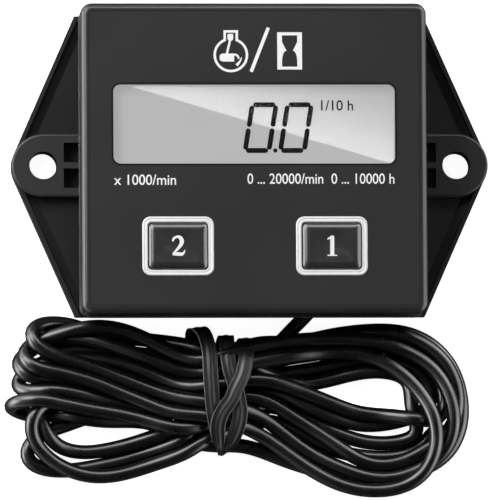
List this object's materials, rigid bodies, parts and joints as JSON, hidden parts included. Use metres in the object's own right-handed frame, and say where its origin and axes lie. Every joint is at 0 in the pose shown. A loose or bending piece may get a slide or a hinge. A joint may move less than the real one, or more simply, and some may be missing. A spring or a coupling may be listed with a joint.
{
  "type": "engine hour meter",
  "caption": "Flat black panel meter with a digital display, framed push keys, mounting ears and a tied sensing lead.",
  "frame": {"origin": "middle of the meter's back, midway between its two mounting holes", "axes": "+Z out of the face, +X to the right along the line through the two holes, +Y up the face"},
  "size_m": [0.0706, 0.0705, 0.0157],
  "materials": {
    "case": "fine texture, black",
    "base": "fine texture, black",
    "label": "printed film, satin dark grey with white symbols",
    "gasket": "matt",
    "steel": "zinc plated",
    "clear": "clear, polished",
    "lcd": "grey display glass",
    "segments": "lit black segments",
    "holder": "white",
    "strip": "layered contact rubber",
    "board": "green laminate",
    "resin": "black resin",
    "can": "plated can",
    "resistor": "black chips",
    "capacitor": "tan chips",
    "cell": "stainless can",
    "spring_metal": "plated spring metal",
    "foam": "closed foam",
    "switch": "black",
    "stem": "natural",
    "key": "glossy black with a white number",
    "frame": "white",
    "bush": "matt black",
    "lead": "semi-gloss black jacket",
    "tie": "black plastic strip over a wire",
    "solder": "bright solder"
  },
  "bodies": {
    "meter": {"front_case": "case", "rear_base": "base", "case_gasket": "gasket", "case_screws": "steel", "face_label": "label", "display_window": "clear", "lcd_panel": "lcd", "lcd_digits": "segments", "lcd_holder": "holder", "contact_strip_upper": "strip", "contact_strip_lower": "strip", "circuit_board": "board", "board_screws": "steel", "chip_cover": "resin", "crystal_can": "can", "resistors": "resistor", "capacitors": "capacitor", "battery": "cell", "battery_tab_positive": "spring_metal", "battery_tab_negative": "spring_metal", "battery_pad": "foam", "switch_body_s1": "switch", "switch_body_s2": "switch", "switch_dome_s1": "spring_metal", "switch_dome_s2": "spring_metal", "key_frame_s1": "frame", "key_frame_s2": "frame", "lead_grommet": "bush", "lead_inner": "lead", "lead_solder": "solder", "lead_tube": "lead", "lead_hank": "lead", "twist_tie": "tie"},
    "key_1": {"key_s1": "key", "switch_stem_s1": "stem"},
    "key_2": {"key_s2": "key", "switch_stem_s2": "stem"}
  },
  "joints": [
    {"name": "key_1_press", "type": "slide", "parent": "meter", "child": "key_1", "axis": [0, 0, -1], "range_m": [0, 0.0005], "stiffness_N_per_m": 1500, "deforming": ["switch_dome_s1"]},
    {"name": "key_2_press", "type": "slide", "parent": "meter", "child": "key_2", "axis": [0, 0, -1], "range_m": [0, 0.0005], "stiffness_N_per_m": 1500, "deforming": ["switch_dome_s2"]}
  ]
}
